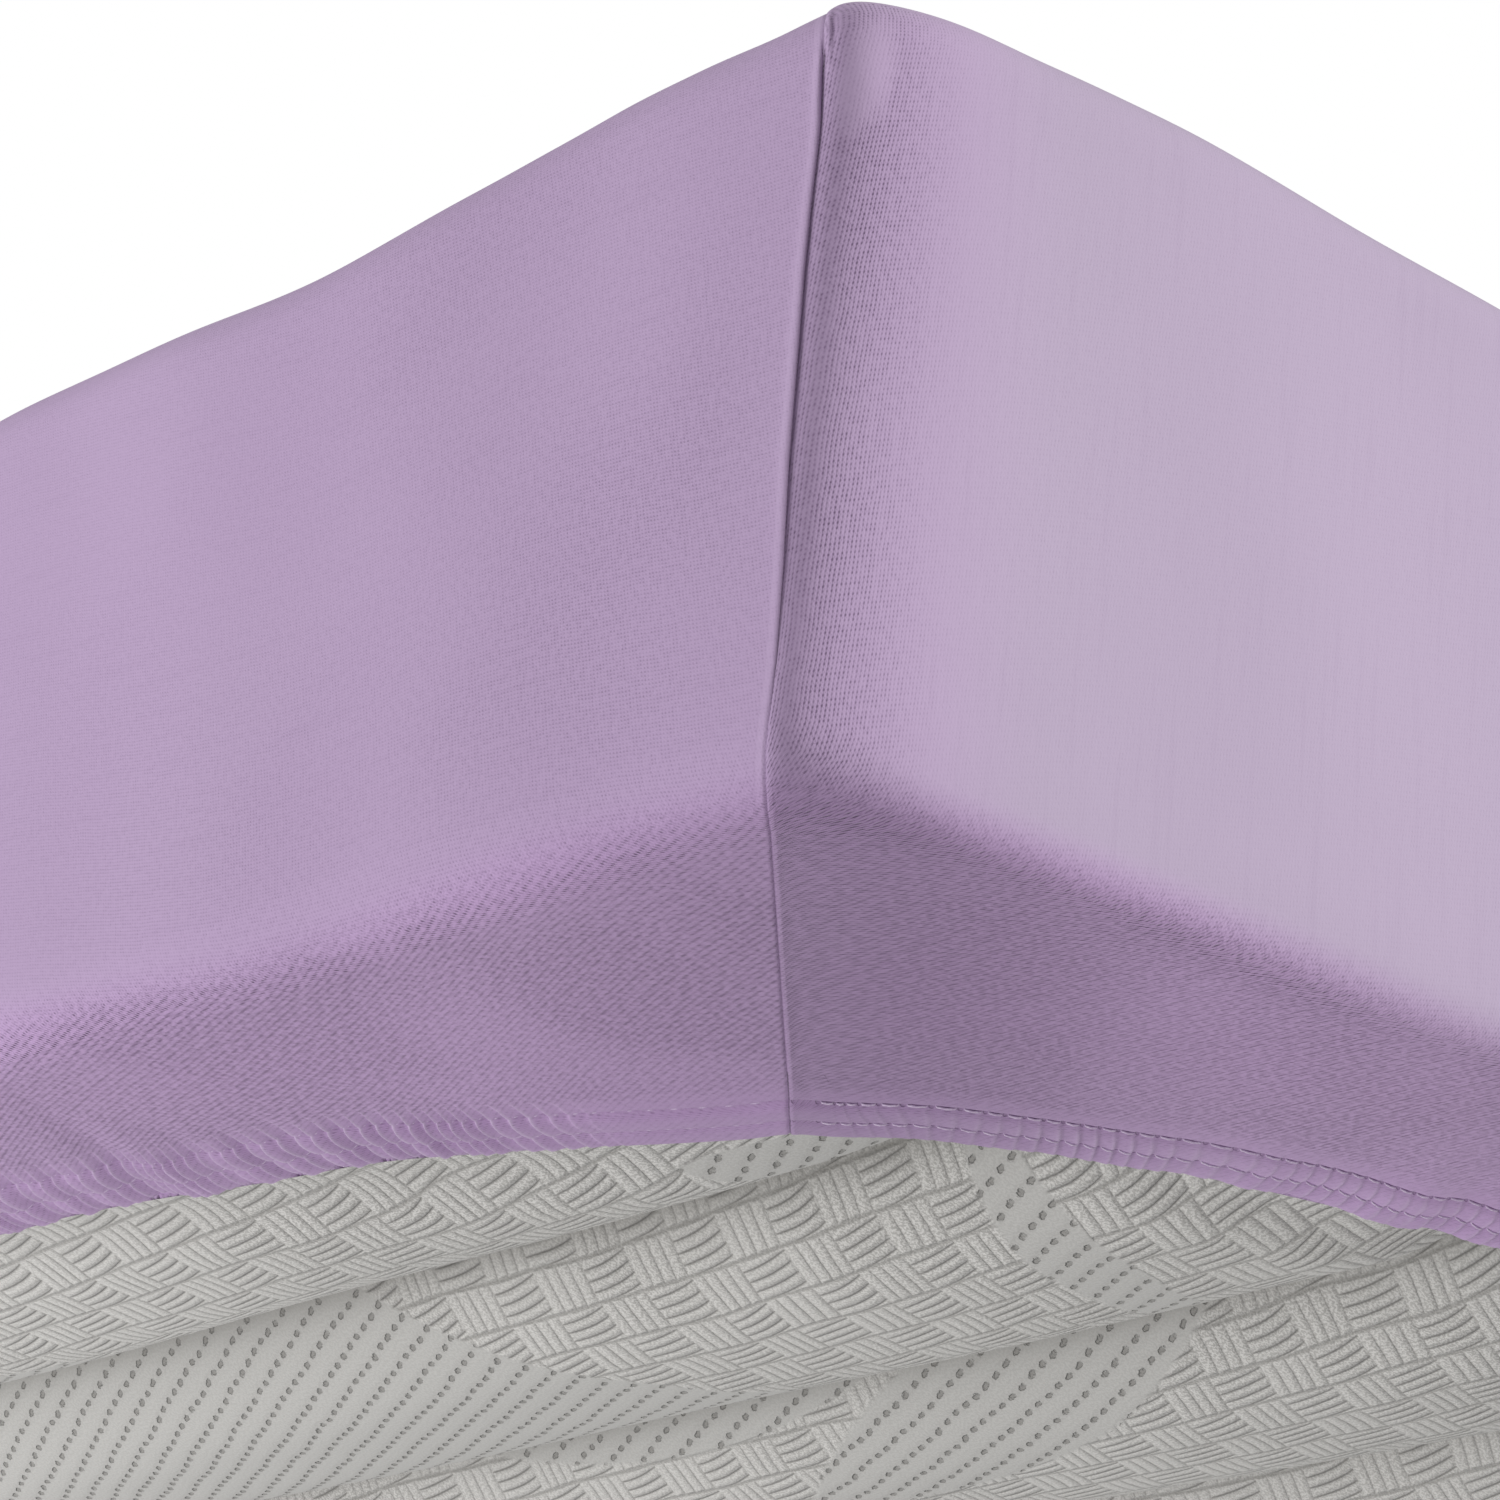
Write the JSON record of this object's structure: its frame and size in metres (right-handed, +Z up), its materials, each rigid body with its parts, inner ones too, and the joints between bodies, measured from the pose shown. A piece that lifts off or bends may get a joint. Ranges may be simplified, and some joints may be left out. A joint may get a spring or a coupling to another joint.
{
  "type": "fitted sheet on a mattress",
  "caption": "Stretch-knit fitted sheet pulled over a single mattress, with seamed corners and a gathered elastic hem turned under its ribbed underside.",
  "frame": {"origin": "on the resting plane, under the middle of the mattress", "axes": "+X along the length towards the foot end, +Y across the width, +Z up out of the sleeping face"},
  "size_m": [2.0014, 0.9026, 0.1636],
  "materials": {
    "jersey": "fine single jersey knit in lilac, matt with a soft nap",
    "ticking": "pale warm grey knitted jacquard ticking, raised basket ribs and pitted plain areas"
  },
  "bodies": {
    "root": {"fitted_sheet": "jersey", "mattress": "ticking"}
  },
  "joints": []
}
